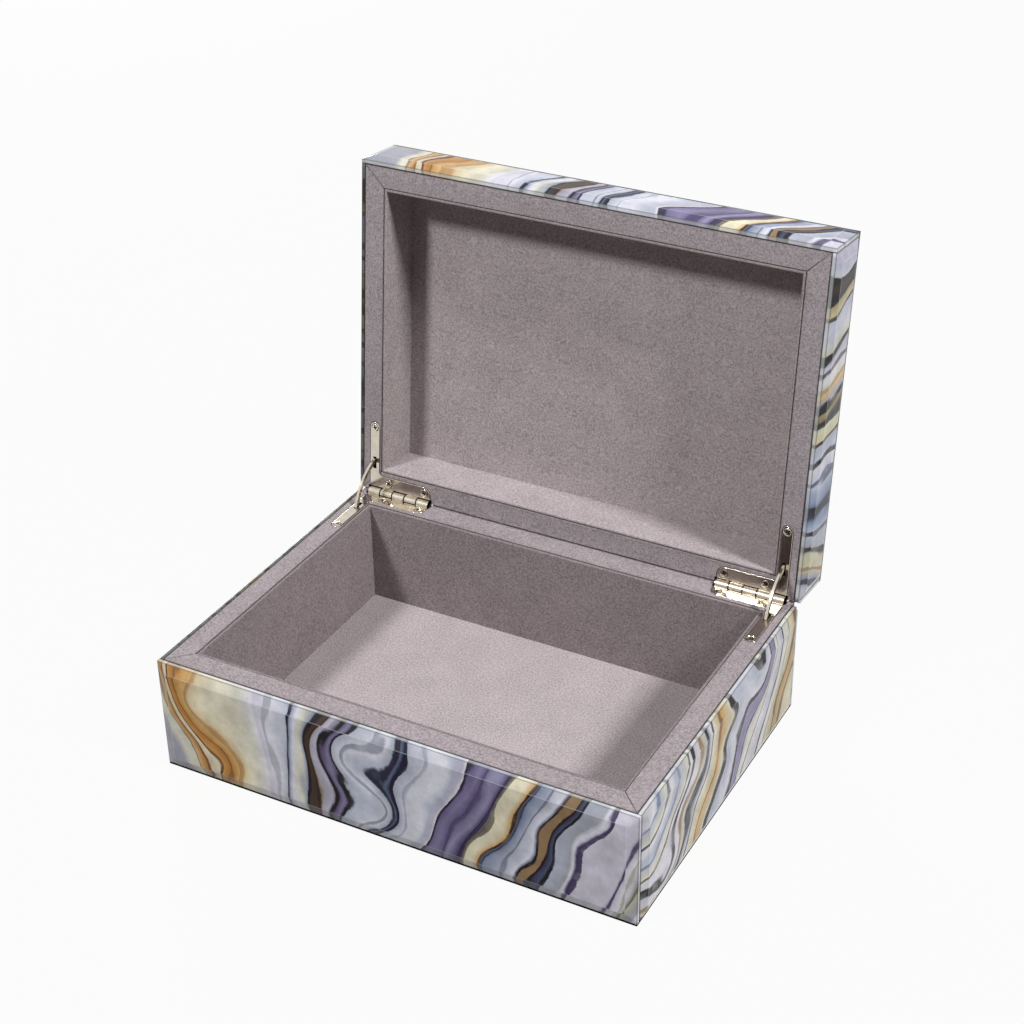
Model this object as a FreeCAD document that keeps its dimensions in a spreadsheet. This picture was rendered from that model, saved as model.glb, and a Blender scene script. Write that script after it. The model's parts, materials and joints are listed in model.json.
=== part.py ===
import FreeCAD, Part
import os
import Sketcher

# A hinged keepsake box: a mitred wooden core clad in bevelled glass and lined in suede, with the lid
# open against its stay arms. +X is right, +Y is back and +Z is up. The origin is the middle of the
# underside. Lid pieces are drawn on the closed box and then swung open about the hinge axis.

# Driving dimensions, in millimetres and degrees
driving_dimensions = [
    ("core_width", 236.0, "outside width of the wooden core"),
    ("core_depth", 170.0, "outside depth of the wooden core"),
    ("wall_thickness", 10.6, "core wall"),
    ("base_height", 58.5, "table to the rim of the base"),
    ("lid_core_height", 28.4, "rim of the lid to the upper face of its board"),
    ("rim_gap", 0.4, "between the two rims when closed"),
    ("felt_thickness", 1.0, "felt sheet under the base"),
    ("bottom_board_thickness", 2.5, "board in the foot of the walls"),
    ("top_board_thickness", 2.2, "board in the head of the lid walls"),
    ("board_rebate", 5.0, "how far each board is let into the walls"),
    ("glass_land", 2.2, "square edge of a glass panel"),
    ("bevel_depth", 1.8, "rise of the bevel from the land to the face"),
    ("bevel_width", 5.0, "width of the ground bevel"),
    ("glass_reveal", 0.3, "glass edge short of the rim"),
    ("hinge_relief", 3.2, "back glass edge short of the rim, clear of the barrels"),
    ("strip_thickness", 0.6, "suede on the rims"),
    ("strip_seam", 0.3, "between a rim strip and the liner beside it"),
    ("lip_reach", 2.9, "suede lip behind the back edge of the base, under the open lid"),
    ("liner_thickness", 1.4, "suede-wrapped board against a wall"),
    ("liner_drop", 0.2, "liner edge short of the rim"),
    ("liner_round", 0.6, "rounded edge of a liner"),
    ("floor_lining", 1.0, "suede floor board of the base"),
    ("recess_lining", 0.8, "suede panel in the lid"),
    ("open_angle", 96.0, "lid travel from closed to the stop"),
    ("axis_back", 1.3, "hinge axis behind the core's back face"),
    ("hinge_inset", 3.8, "core's side face to the outer end of a barrel"),
    ("barrel_radius", 2.4, "hinge barrel"),
    ("knuckle_length", 7.1, "pitch of the knuckles"),
    ("knuckle_gap", 0.3, "between two knuckles"),
    ("pin_radius", 1.0, "hinge pin"),
    ("pin_clearance", 0.05, "pin to bore, on the radius"),
    ("pin_stub", 0.4, "pin end proud of the barrel"),
    ("leaf_thickness", 1.4, "hinge leaf"),
    ("leg_width", 5.4, "leaf leg along the side wall"),
    ("leg_length", 38.3, "axis to the end of that leg"),
    ("barrel_leg_reach", 9.2, "axis to the front edge of the leg along the back"),
    ("leg_end_round", 3.0, "rounded end of the side leg"),
    ("barrel_leg_round", 4.5, "rounded end of the leg along the back"),
    ("inner_corner_round", 2.0, "inside corner of the leaf"),
    ("leaf_edge_round", 0.25, "softened edge round the face of a leaf"),
    ("seat_clearance", 0.15, "round a leaf in its seat"),
    ("barrel_clearance", 0.4, "round a barrel"),
    ("screw_radius", 1.0, "screw shank"),
    ("screw_head_radius", 2.2, "countersunk head"),
    ("screw_head_height", 1.2, "countersunk head"),
    ("screw_length", 8.0, "head to point"),
    ("screw_point", 1.8, "tapered point"),
    ("cross_width", 0.7, "cross recess, across one arm"),
    ("cross_length", 2.6, "cross recess, end to end"),
    ("cross_depth", 0.7, "cross recess"),
    ("pilot_clearance", 0.05, "round a screw, on the radius"),
    ("side_screw", 2.8, "end of the side leg to its screw"),
    ("outer_screw", 11.0, "outer end of the barrel to the nearer screw"),
    ("inner_screw", 3.6, "inner end of the barrel to the nearer screw"),
    ("stay_middle", 14.8, "hinge axis to the centre line of the stay arm at its middle"),
    ("stay_arc", 26.5, "radius of that centre line"),
    ("stay_width", 2.2, "stay arm, inner edge to outer edge"),
    ("stay_thickness", 1.2, "stay arm sheet"),
    ("hook_reach", 1.7, "hook proud of the arm's outer edge"),
    ("hook_angle", 4.5, "arc taken by a hook"),
    ("hook_clearance", 0.1, "hook to the leaf when the lid is at its stop"),
    ("slot_play", 0.9, "stay arm to the inner end of its slot"),
    ("slot_clearance", 0.35, "stay arm to the sides and outer end of its slot"),
    ("pocket_clearance", 0.8, "round the stay arm in the walls"),
]
knuckle_count = 5

doc = FreeCAD.newDocument("keepsake_box")
sheet = doc.addObject("Spreadsheet::Sheet", "dims")
for row, (alias, number, meaning) in enumerate(driving_dimensions, start=1):
    sheet.set(f"A{row}", str(number))
    sheet.setAlias(f"A{row}", alias)
    sheet.set(f"B{row}", meaning)
doc.recompute()

# Places worked out from the driving dimensions, as expressions
half_width = "(dims.core_width / 2)"
half_depth = "(dims.core_depth / 2)"
inner_half_width = "(dims.core_width / 2 - dims.wall_thickness)"
inner_half_depth = "(dims.core_depth / 2 - dims.wall_thickness)"
wall_foot = "(dims.wall_thickness - dims.board_rebate)"
bottom_board_top = "(dims.felt_thickness + dims.bottom_board_thickness)"
floor_top = "(dims.felt_thickness + dims.bottom_board_thickness + dims.floor_lining)"
base_rim = "(dims.base_height)"
base_wall_top = "(dims.base_height - dims.strip_thickness)"
lid_rim = "(dims.base_height + dims.rim_gap)"
lid_wall_foot = "(dims.base_height + dims.rim_gap + dims.strip_thickness)"
lid_top = "(dims.base_height + dims.rim_gap + dims.lid_core_height)"
top_board_face = f"({lid_top} - dims.top_board_thickness)"
recess_face = f"({top_board_face} - dims.recess_lining)"
axis_y = "(dims.core_depth / 2 + dims.axis_back)"
axis_z = "(dims.base_height + dims.rim_gap / 2)"
barrel_outer = "(dims.core_width / 2 - dims.hinge_inset)"
barrel_inner = f"({barrel_outer} - {knuckle_count} * dims.knuckle_length)"
leg_middle = f"({barrel_outer} - dims.leg_width / 2)"
stay_centre = "(dims.stay_arc - dims.stay_middle)"
stay_inner = "(dims.stay_arc - dims.stay_width / 2)"
stay_outer = "(dims.stay_arc + dims.stay_width / 2)"
bore_radius = "(dims.pin_radius + dims.pin_clearance)"
pilot_radius = "(dims.screw_radius + dims.pilot_clearance)"
hook_radius = f"({stay_outer} + dims.hook_reach)"
hook_dip = "(dims.rim_gap / 2 + dims.leaf_thickness + dims.hook_clearance)"
half_travel = "(dims.open_angle * 1 deg / 2)"
barrel_room = "(dims.barrel_radius + dims.barrel_clearance)"
back_leg_middle = f"((dims.barrel_leg_reach + {barrel_room}) / 2)"
screw_places = [
    (leg_middle, "(dims.leg_length - dims.side_screw)"),
    (f"({barrel_outer} - dims.outer_screw)", back_leg_middle),
    (f"({barrel_inner} + dims.inner_screw)", back_leg_middle),
]
sides = ("front", "back", "left", "right")
along_x = FreeCAD.Rotation(FreeCAD.Vector(0, 1, 0), 90)
near = 1e-4
nodes = []


def value(expression):
    result = sheet.evalExpression(expression)
    return float(getattr(result, "Value", result))


def dip_angle(radius):
    # Angle about the arm's own centre at which a radius clears the far face of a leaf at the stop
    below = f"({hook_dip} - {stay_centre} * sin({half_travel}))"
    return f"({half_travel} + asin({below} / {radius}))"


def from_axis(radius, angle):
    # Hinge axis to a point of the arm, given about the arm's own centre
    across = f"(2 * {stay_centre} * {radius} * cos({angle}))"
    return f"sqrt(pow({stay_centre}; 2) + pow({radius}; 2) - {across})"


hook_start = dip_angle(stay_outer)
hook_corner = dip_angle(hook_radius)
stay_end = f"({hook_corner} + dims.hook_angle * 1 deg)"


def bind(thing, **expressions):
    for name, expression in expressions.items():
        thing.setExpression(name.replace("__", "."), expression)


def place(thing, x, y, z, rotation=None):
    if rotation is not None:
        thing.Placement = FreeCAD.Placement(FreeCAD.Vector(), rotation)
    bind(thing, Placement__Base__x=x, Placement__Base__y=y, Placement__Base__z=z)


def swing_open(thing, share):
    # A share of the full travel about the hinge axis, from closed towards the stop
    turn = f"(dims.open_angle * {share} * 1 deg)"
    start = FreeCAD.Rotation(FreeCAD.Vector(-1, 0, 0), value(turn))
    thing.Placement = FreeCAD.Placement(FreeCAD.Vector(), start)
    bind(
        thing,
        Placement__Rotation__Angle=turn,
        Placement__Base__y=f"{axis_y} - {axis_y} * cos({turn}) - {axis_z} * sin({turn})",
        Placement__Base__z=f"{axis_z} + {axis_y} * sin({turn}) - {axis_z} * cos({turn})",
    )


def keep(thing, label, on_lid=False):
    # A finished sub-part under its own label, swung open if it belongs to the lid
    thing.Label = label
    if on_lid:
        swing_open(thing, 1)
    nodes.append(thing)


def mirrored(side, low, high):
    # A span across the box, from low to high on the right side
    if side == "right":
        return low, high
    return f"(-{high})", f"(-{low})"


def origin_plane(body, role):
    return next(plane for plane in body.Origin.OriginFeatures if plane.Role == role)


def new_sketch(body, name, role):
    sketch = body.newObject("Sketcher::SketchObject", name)
    sketch.AttachmentSupport = [(origin_plane(body, role), "")]
    sketch.MapMode = "FlatFace"
    return sketch


def pin_vertex(sketch, line, end, x, y):
    for kind, expression in (("DistanceX", x), ("DistanceY", y)):
        distance = Sketcher.Constraint(kind, -1, 1, line, end, value(expression))
        index = sketch.addConstraint(distance)
        sketch.setExpression(f"Constraints[{index}]", expression)


def polygon_sketch(body, name, corners, height, role="XY_Plane"):
    sketch = new_sketch(body, name, role)
    bind(sketch, AttachmentOffset__Base__z=height)
    points = [FreeCAD.Vector(value(x), value(y), 0) for x, y in corners]
    for start, end in zip(points, points[1:] + points[:1]):
        sketch.addGeometry(Part.LineSegment(start, end), False)
    for line in range(len(points)):
        following = (line + 1) % len(points)
        sketch.addConstraint(Sketcher.Constraint("Coincident", line, 2, following, 1))
    for line, (x, y) in enumerate(corners):
        pin_vertex(sketch, line, 1, x, y)
    return sketch


def add_pad(body, name, sketch, length):
    pad = body.newObject("PartDesign::Pad", name)
    pad.Profile = sketch
    bind(pad, Length=length)
    return pad


def add_prism(body, name, corners, low, high):
    sketch = polygon_sketch(body, f"{name}_outline", corners, low)
    return add_pad(body, name, sketch, f"{high} - {low}")


def add_fillet(body, base, picked, radius):
    doc.recompute()
    edges = [f"Edge{i}" for i, edge in enumerate(base.Shape.Edges, start=1) if picked(edge)]
    fillet = body.newObject("PartDesign::Fillet", "rounded")
    fillet.Base = (base, edges)
    bind(fillet, Radius=radius)
    return fillet


def upright_at(x, y):
    # Picks the upright edge at a corner
    def picked(edge):
        bounds = edge.BoundBox
        upright = bounds.XLength < near and bounds.YLength < near
        return upright and abs(bounds.XMin - value(x)) < near and abs(bounds.YMin - value(y)) < near

    return picked


def level_at(z):
    # Picks every edge at a height
    def picked(edge):
        bounds = edge.BoundBox
        return bounds.ZLength < near and abs(bounds.ZMin - value(z)) < near

    return picked


def box(name, x, y, z):
    block = doc.addObject("Part::Box", name)
    bind(block, Length=f"{x[1]} - {x[0]}", Width=f"{y[1]} - {y[0]}", Height=f"{z[1]} - {z[0]}")
    place(block, x[0], y[0], z[0])
    return block


def rod(name, x, radius):
    # A cylinder on the hinge axis
    cylinder = doc.addObject("Part::Cylinder", name)
    bind(cylinder, Radius=radius, Height=f"{x[1]} - {x[0]}")
    place(cylinder, x[0], axis_y, axis_z, along_x)
    return cylinder


def post(name, x, y, z, radius):
    # An upright cylinder
    cylinder = doc.addObject("Part::Cylinder", name)
    bind(cylinder, Radius=radius, Height=f"{z[1]} - {z[0]}")
    place(cylinder, x, y, z[0])
    return cylinder


def fused(name, pieces):
    union = doc.addObject("Part::MultiFuse", name)
    union.Shapes = pieces
    return union


def cut(name, base, tool):
    result = doc.addObject("Part::Cut", name)
    result.Base = base
    result.Tool = tool
    return result


# Mitred rings: core walls, rim strips and liner boards
def rail_corners(side, half_x, half_y, thickness):
    inner_x = f"({half_x} - {thickness})"
    inner_y = f"({half_y} - {thickness})"
    outer = {
        "front": [(f"-{half_x}", f"-{half_y}"), (half_x, f"-{half_y}")],
        "back": [(half_x, half_y), (f"-{half_x}", half_y)],
        "left": [(f"-{half_x}", half_y), (f"-{half_x}", f"-{half_y}")],
        "right": [(half_x, f"-{half_y}"), (half_x, half_y)],
    }[side]
    inner = [(x.replace(half_x, inner_x), y.replace(half_y, inner_y)) for x, y in reversed(outer)]
    return outer + inner


def rail(label, side, layers):
    # Layers are (half width, half depth, thickness, low, high), stacked into one rail
    body = doc.addObject("PartDesign::Body", label)
    for level, (half_x, half_y, thickness, low, high) in enumerate(layers, start=1):
        corners = rail_corners(side, half_x, half_y, thickness)
        add_prism(body, f"{label}_layer_{level}", corners, low, high)
    return body


def plate(label, half_x, half_y, low, high, on_lid=False):
    body = doc.addObject("PartDesign::Body", label)
    corners = [
        (f"-{half_x}", f"-{half_y}"),
        (half_x, f"-{half_y}"),
        (half_x, half_y),
        (f"-{half_x}", half_y),
    ]
    add_prism(body, f"{label}_sheet", corners, low, high)
    keep(body, label, on_lid)


# Hinge leaves, their seats and what passes through them
def leaf_corners(side, grow, back_edge):
    outer = f"({barrel_outer} + {grow})"
    leg_inner = f"({barrel_outer} - dims.leg_width - {grow})"
    inner_end = f"({barrel_inner} - {grow})"
    leg_front = f"({axis_y} - dims.leg_length - {grow})"
    back_leg_front = f"({axis_y} - dims.barrel_leg_reach - {grow})"
    corners = [
        (outer, leg_front),
        (outer, back_edge),
        (inner_end, back_edge),
        (inner_end, back_leg_front),
        (leg_inner, back_leg_front),
        (leg_inner, leg_front),
    ]
    if side == "left":
        corners = [(f"-{x}", y) for x, y in corners]
    return corners


def leaf_plate(label, side, grow, back_edge, low, high):
    body = doc.addObject("PartDesign::Body", label)
    corners = leaf_corners(side, grow, back_edge)
    feature = add_prism(body, f"{label}_sheet", corners, low, high)
    end_round = f"min(dims.leg_end_round; dims.leg_width * 0.49) + {grow}"
    back_leg = f"(dims.barrel_leg_reach - {barrel_room})"
    back_round = f"min(dims.barrel_leg_round; {back_leg} * 0.9) + {grow}"
    rounds = [(0, end_round), (5, end_round), (3, back_round), (4, "dims.inner_corner_round")]
    for corner, radius in rounds:
        feature = add_fillet(body, feature, upright_at(*corners[corner]), radius)
    return body


def leaf_span(on_lid, depth, proud="0"):
    # From a distance below the leaf's face to a distance above it, on the base or on the lid
    if on_lid:
        return f"({lid_rim} - {proud})", f"({lid_rim} + {depth})"
    return f"({base_rim} - {depth})", f"({base_rim} + {proud})"


def hinge_cutter(on_lid):
    # What the walls and rim strips make room for at both hinges
    owner = "lid" if on_lid else "base"
    proud = "dims.strip_thickness"
    reach = f"({hook_radius} * sin({stay_end}) + dims.pocket_clearance)"
    pieces = []
    for side in ("left", "right"):
        name = f"{side}_{owner}"
        seat = leaf_span(on_lid, "dims.leaf_thickness", proud)
        pieces.append(leaf_plate(f"{name}_leaf_seat", side, "dims.seat_clearance", axis_y, *seat))
        groove_ends = mirrored(
            side,
            f"({barrel_inner} - dims.barrel_clearance - dims.pin_stub)",
            f"({barrel_outer} + dims.barrel_clearance + dims.pin_stub)",
        )
        pieces.append(rod(f"{name}_barrel_groove", groove_ends, barrel_room))
        half_pocket = "(dims.stay_thickness / 2 + dims.pocket_clearance)"
        pocket_x = mirrored(side, f"({leg_middle} - {half_pocket})", f"({leg_middle} + {half_pocket})")
        pocket_y = (
            f"({axis_y} - {from_axis(hook_radius, stay_end)} - dims.pocket_clearance)",
            f"({axis_y} + {stay_centre} - {stay_inner} * cos({stay_end}) + dims.pocket_clearance)",
        )
        pieces.append(box(f"{name}_stay_pocket", pocket_x, pocket_y, leaf_span(on_lid, reach, proud)))
        for x, forward in screw_places:
            drilled = leaf_span(on_lid, "(dims.screw_length + dims.pilot_clearance)", proud)
            x = mirrored(side, x, x)[0]
            pieces.append(post(f"{name}_pilot_hole", x, f"{axis_y} - {forward}", drilled, pilot_radius))
    return fused(f"{owner}_hinge_cutter", pieces)


def hinge_leaf(side, on_lid):
    owner = "lid" if on_lid else "base"
    label = f"{side}_hinge_{owner}_leaf"
    span = leaf_span(on_lid, "dims.leaf_thickness")
    plate_edge = f"({axis_y} - {barrel_room})"
    sheet_body = leaf_plate(f"{label}_plate", side, "0", plate_edge, *span)
    face = lid_rim if on_lid else base_rim
    softened = "min(dims.leaf_edge_round; dims.leaf_thickness * 0.45)"
    add_fillet(sheet_body, sheet_body.Tip, level_at(face), softened)
    solid = [sheet_body]
    for index in range(knuckle_count):
        if (index % 2 == 1) != on_lid:
            continue
        start = f"({barrel_inner} + {index} * dims.knuckle_length + dims.knuckle_gap / 2)"
        knuckle = mirrored(side, start, f"({start} + dims.knuckle_length - dims.knuckle_gap)")
        solid.append(rod(f"{label}_knuckle", knuckle, "dims.barrel_radius"))
        solid.append(box(f"{label}_bridge", knuckle, (plate_edge, axis_y), span))

    holes = [rod(f"{label}_bore", mirrored(side, barrel_inner, barrel_outer), bore_radius)]
    for x, forward in screw_places:
        x = mirrored(side, x, x)[0]
        y = f"{axis_y} - {forward}"
        holes.append(post(f"{label}_hole", x, y, span, pilot_radius))
        sink_low, sink_high = leaf_span(on_lid, "dims.screw_head_height")
        sink = doc.addObject("Part::Cone", f"{label}_countersink")
        narrow, wide = "dims.screw_radius", "dims.screw_head_radius"
        bind(sink, Height=f"{sink_high} - {sink_low}")
        bind(sink, Radius1=wide if on_lid else narrow, Radius2=narrow if on_lid else wide)
        place(sink, x, y, sink_low)
        holes.append(sink)
    half_slot = "(dims.stay_thickness / 2 + dims.slot_clearance)"
    slot_x = mirrored(side, f"({leg_middle} - {half_slot})", f"({leg_middle} + {half_slot})")
    slot_y = (
        f"({axis_y} - {from_axis(stay_outer, hook_start)} - dims.slot_clearance)",
        f"({axis_y} - dims.stay_middle + dims.stay_width / 2 + dims.slot_play)",
    )
    holes.append(box(f"{label}_slot", slot_x, slot_y, span))
    leaf = cut(label, fused(f"{label}_blank", solid), fused(f"{label}_openings", holes))
    keep(leaf, label, on_lid)


def stay_arm(side):
    # A flat arc centred behind the hinge axis, hooked outwards at both ends, drawn with its middle forward
    label = f"{side}_stay_arm"
    body = doc.addObject("PartDesign::Body", label)
    sketch = new_sketch(body, f"{label}_outline", "YZ_Plane")
    middle = mirrored(side, leg_middle, leg_middle)[0]
    bind(
        sketch,
        AttachmentOffset__Base__x=axis_y,
        AttachmentOffset__Base__y=axis_z,
        AttachmentOffset__Base__z=f"{middle} - dims.stay_thickness / 2",
    )
    upper = [
        (stay_outer, hook_start),
        (hook_radius, hook_corner),
        (hook_radius, stay_end),
        (stay_inner, stay_end),
    ]
    lower = [(radius, f"(-{angle})") for radius, angle in reversed(upper)]
    stations = lower + upper
    corners = [(f"{stay_centre} - {r} * cos({a})", f"{r} * sin({a})") for r, a in stations]
    points = [FreeCAD.Vector(value(x), value(y), 0) for x, y in corners]
    for first in range(0, len(points), 2):
        sketch.addGeometry(Part.LineSegment(points[first], points[first + 1]), False)
    # Each arc runs anticlockwise from its first corner to its second
    arcs = [(2, 1), (4, 3), (6, 5), (7, 0)]
    centre = FreeCAD.Vector(value(stay_centre), 0, 0)
    for number, (start, end) in enumerate(arcs, start=4):
        arc_radius = stations[start][0]
        circle = Part.Circle(centre, FreeCAD.Vector(0, 0, 1), value(arc_radius))
        angles = [circle.parameter(points[corner]) for corner in (start, end)]
        sketch.addGeometry(Part.ArcOfCircle(circle, *angles), False)
        for arc_end, corner in ((1, start), (2, end)):
            line, line_end = corner // 2, corner % 2 + 1
            sketch.addConstraint(Sketcher.Constraint("Coincident", number, arc_end, line, line_end))
        radius = sketch.addConstraint(Sketcher.Constraint("Radius", number, value(arc_radius)))
        sketch.setExpression(f"Constraints[{radius}]", arc_radius)
    for corner, (x, y) in enumerate(corners):
        pin_vertex(sketch, corner // 2, corner % 2 + 1, x, y)
    add_pad(body, f"{label}_sheet", sketch, "dims.stay_thickness")
    keep(body, label)
    swing_open(body, 0.5)


def screw_master():
    # A countersunk screw with its head's face at the origin, pointing down
    body = doc.addObject("PartDesign::Body", "hinge_screw")
    profile = [
        ("0", "0"),
        ("dims.screw_head_radius", "0"),
        ("dims.screw_radius", "-dims.screw_head_height"),
        ("dims.screw_radius", "dims.screw_point - dims.screw_length"),
        ("0", "-dims.screw_length"),
    ]
    outline = polygon_sketch(body, "screw_outline", profile, "0", "XZ_Plane")
    turned = body.newObject("PartDesign::Revolution", "screw_turned")
    turned.Profile = outline
    turned.ReferenceAxis = (outline, ["V_Axis"])
    turned.Angle = 360
    arm, tip = "dims.cross_width / 2", "dims.cross_length / 2"
    quarter = [(tip, arm), (arm, arm), (arm, tip)]
    cross = []
    for x_sign, y_sign, order in ((1, 1, 1), (-1, 1, -1), (-1, -1, 1), (1, -1, -1)):
        cross += [(f"{x_sign} * {x}", f"{y_sign} * {y}") for x, y in quarter[::order]]
    recess = body.newObject("PartDesign::Pocket", "screw_cross")
    recess.Profile = polygon_sketch(body, "cross_outline", cross, "0")
    bind(recess, Length="dims.cross_depth")
    return body


def leaf_screws(side, on_lid, master):
    owner = "lid" if on_lid else "base"
    label = f"{side}_{owner}_leaf_screws"
    pointing = FreeCAD.Rotation(FreeCAD.Vector(1, 0, 0), 180 if on_lid else 0)
    copies = []
    for x, forward in screw_places:
        copy = doc.addObject("App::Link", f"{label}_screw")
        copy.setLink(master)
        x = mirrored(side, x, x)[0]
        place(copy, x, f"{axis_y} - {forward}", lid_rim if on_lid else base_rim, pointing)
        copies.append(copy)
    group = doc.addObject("Part::Compound", label)
    group.Links = copies
    keep(group, label, on_lid)


# Glass panels: a square-edged sheet with a ground bevel on its outer face
def glass_panel(label, facing, width, height, foot, on_lid=False):
    half = f"({width} / 2)"
    turn_z = FreeCAD.Vector(0, 0, 1)
    seats = {
        "back": (FreeCAD.Rotation(turn_z, 0), f"-{half}", half_depth, foot),
        "front": (FreeCAD.Rotation(turn_z, 180), half, f"-{half_depth}", foot),
        "left": (FreeCAD.Rotation(turn_z, 90), f"-{half_width}", f"-{half}", foot),
        "right": (FreeCAD.Rotation(turn_z, -90), half_width, half, foot),
        "top": (FreeCAD.Rotation(FreeCAD.Vector(1, 0, 0), 90), f"-{half}", f"({height} / 2)", foot),
    }
    rotation, x, y, z = seats[facing]
    sheet_part = doc.addObject("Part::Box", f"{label}_sheet")
    bind(sheet_part, Length=width, Width="dims.glass_land", Height=height)
    bevel = doc.addObject("Part::Wedge", f"{label}_bevel")
    bevel.Xmin, bevel.Zmin = 0, 0
    bind(bevel, Ymin="dims.glass_land", Ymax="dims.glass_land + dims.bevel_depth")
    bind(bevel, Xmax=width, X2min="dims.bevel_width", X2max=f"{width} - dims.bevel_width")
    bind(bevel, Zmax=height, Z2min="dims.bevel_width", Z2max=f"{height} - dims.bevel_width")
    place(sheet_part, x, y, z, rotation)
    place(bevel, x, y, z, rotation)
    panel = doc.addObject("Part::Fuse", label)
    panel.Base = sheet_part
    panel.Tool = bevel
    keep(panel, label, on_lid)


def clad(owner, foot, head, back_foot, back_head, on_lid):
    across = "(dims.core_width + 2 * dims.glass_land)"
    glass_panel(f"{owner}_front_glass", "front", across, f"({head} - {foot})", foot, on_lid)
    glass_panel(f"{owner}_back_glass", "back", across, f"({back_head} - {back_foot})", back_foot, on_lid)
    for side in ("left", "right"):
        glass_panel(f"{owner}_{side}_glass", side, "(dims.core_depth)", f"({head} - {foot})", foot, on_lid)


def lined_ring(owner, wall_layers, strip_span, flange, liner_span, cutter, on_lid):
    # Four walls, four rim strips and four liners; the hinges cut all of them but the front ones
    for side in sides:
        at_hinge = side != "front"
        wall_label = f"{owner}_{side}_wall"
        blank = rail(f"{wall_label}_blank" if at_hinge else wall_label, side, wall_layers)
        keep(cut(wall_label, blank, cutter) if at_hinge else blank, wall_label, on_lid)

        strip_label = f"{owner}_{side}_rim_strip"
        strip_width = "(dims.wall_thickness - dims.strip_seam)"
        strip = rail(
            f"{strip_label}_blank" if at_hinge else strip_label,
            side,
            [(half_width, half_depth, strip_width, *strip_span)],
        )
        if side == "back":
            # The suede turns over the back edge that the glass leaves bare
            flange_reach, *flange_span = flange
            turned = f"({half_depth} + {flange_reach})"
            corners = [
                (f"-{half_width}", half_depth),
                (half_width, half_depth),
                (half_width, turned),
                (f"-{half_width}", turned),
            ]
            add_prism(strip, f"{strip_label}_flange", corners, *flange_span)
        keep(cut(strip_label, strip, cutter) if at_hinge else strip, strip_label, on_lid)

        liner_label = f"{owner}_{side}_liner"
        liner = rail(
            f"{liner_label}_blank" if at_hinge else liner_label,
            side,
            [(inner_half_width, inner_half_depth, "dims.liner_thickness", *liner_span)],
        )
        free_edge = liner_span[0] if on_lid else liner_span[1]
        round_liner(liner, side, free_edge)
        keep(cut(liner_label, liner, cutter) if at_hinge else liner, liner_label, on_lid)


def round_liner(liner, side, free_edge):
    # The rounded edge that shows along the rim
    runs_across = side in ("front", "back")
    inner = inner_half_depth if runs_across else inner_half_width
    face = value(f"{inner} - dims.liner_thickness")

    def picked(edge):
        bounds = edge.BoundBox
        length = bounds.XLength if runs_across else bounds.YLength
        width = bounds.YLength if runs_across else bounds.XLength
        offset = bounds.YMin if runs_across else bounds.XMin
        lengthwise = length > near and width < near
        return level_at(free_edge)(edge) and lengthwise and abs(abs(offset) - face) < near

    radius = "min(dims.liner_round; dims.liner_thickness * 0.45)"
    add_fillet(liner, liner.Tip, picked, radius)


# Base
base_cutter = hinge_cutter(False)
lined_ring(
    "base",
    [
        (half_width, half_depth, wall_foot, "dims.felt_thickness", bottom_board_top),
        (half_width, half_depth, "dims.wall_thickness", bottom_board_top, base_wall_top),
    ],
    (base_wall_top, base_rim),
    ("dims.lip_reach", f"({base_rim} - dims.hinge_relief)", base_rim),
    (floor_top, f"({base_rim} - dims.liner_drop)"),
    base_cutter,
    False,
)
board_half_width = f"({half_width} - {wall_foot})"
board_half_depth = f"({half_depth} - {wall_foot})"
plate("base_bottom_board", board_half_width, board_half_depth, "dims.felt_thickness", bottom_board_top)
plate("base_floor_lining", inner_half_width, inner_half_depth, bottom_board_top, floor_top)
felt_half_width = f"({half_width} + dims.glass_land)"
felt_half_depth = f"({half_depth} + dims.glass_land)"
plate("base_underside_felt", felt_half_width, felt_half_depth, "0", "dims.felt_thickness")
clad(
    "base",
    "dims.felt_thickness",
    f"({base_rim} - dims.glass_reveal)",
    "dims.felt_thickness",
    f"({base_rim} - dims.hinge_relief)",
    False,
)

# Lid
lid_cutter = hinge_cutter(True)
lined_ring(
    "lid",
    [
        (half_width, half_depth, "dims.wall_thickness", lid_wall_foot, top_board_face),
        (half_width, half_depth, wall_foot, top_board_face, lid_top),
    ],
    (lid_rim, lid_wall_foot),
    ("dims.strip_thickness", lid_rim, f"({lid_rim} + dims.hinge_relief)"),
    (f"({lid_rim} + dims.liner_drop)", recess_face),
    lid_cutter,
    True,
)
plate("lid_top_board", board_half_width, board_half_depth, top_board_face, lid_top, True)
plate("lid_recess_lining", inner_half_width, inner_half_depth, recess_face, top_board_face, True)
clad("lid", f"({lid_rim} + dims.glass_reveal)", lid_top, f"({lid_rim} + dims.hinge_relief)", lid_top, True)
top_width = "(dims.core_width + 2 * dims.glass_land)"
top_depth = "(dims.core_depth + 2 * dims.glass_land)"
glass_panel("lid_top_glass", "top", top_width, top_depth, lid_top, True)

# Hinges
screw = screw_master()
for side in ("left", "right"):
    for on_lid in (False, True):
        hinge_leaf(side, on_lid)
        leaf_screws(side, on_lid, screw)
    pin_ends = mirrored(side, f"({barrel_inner} - dims.pin_stub)", f"({barrel_outer} + dims.pin_stub)")
    keep(rod(f"{side}_hinge_pin", pin_ends, "dims.pin_radius"), f"{side}_hinge_pin")
    stay_arm(side)

doc.recompute()
failed = [thing.Label for thing in doc.Objects if {"Invalid", "Error"} & set(thing.State)]
if failed:
    raise RuntimeError(f"failed to build: {failed}")
for node in nodes:
    if node.Shape.isNull() or not node.Shape.isValid() or not node.Shape.Solids:
        raise RuntimeError(f"no valid solid: {node.Label}")

os.makedirs("parts", exist_ok=True)
for node in nodes:
    node.Shape.exportStep(f"parts/{node.Label}.step")
print(f"{len(nodes)} sub-parts, {sum(len(node.Shape.Solids) for node in nodes)} solids")
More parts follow.
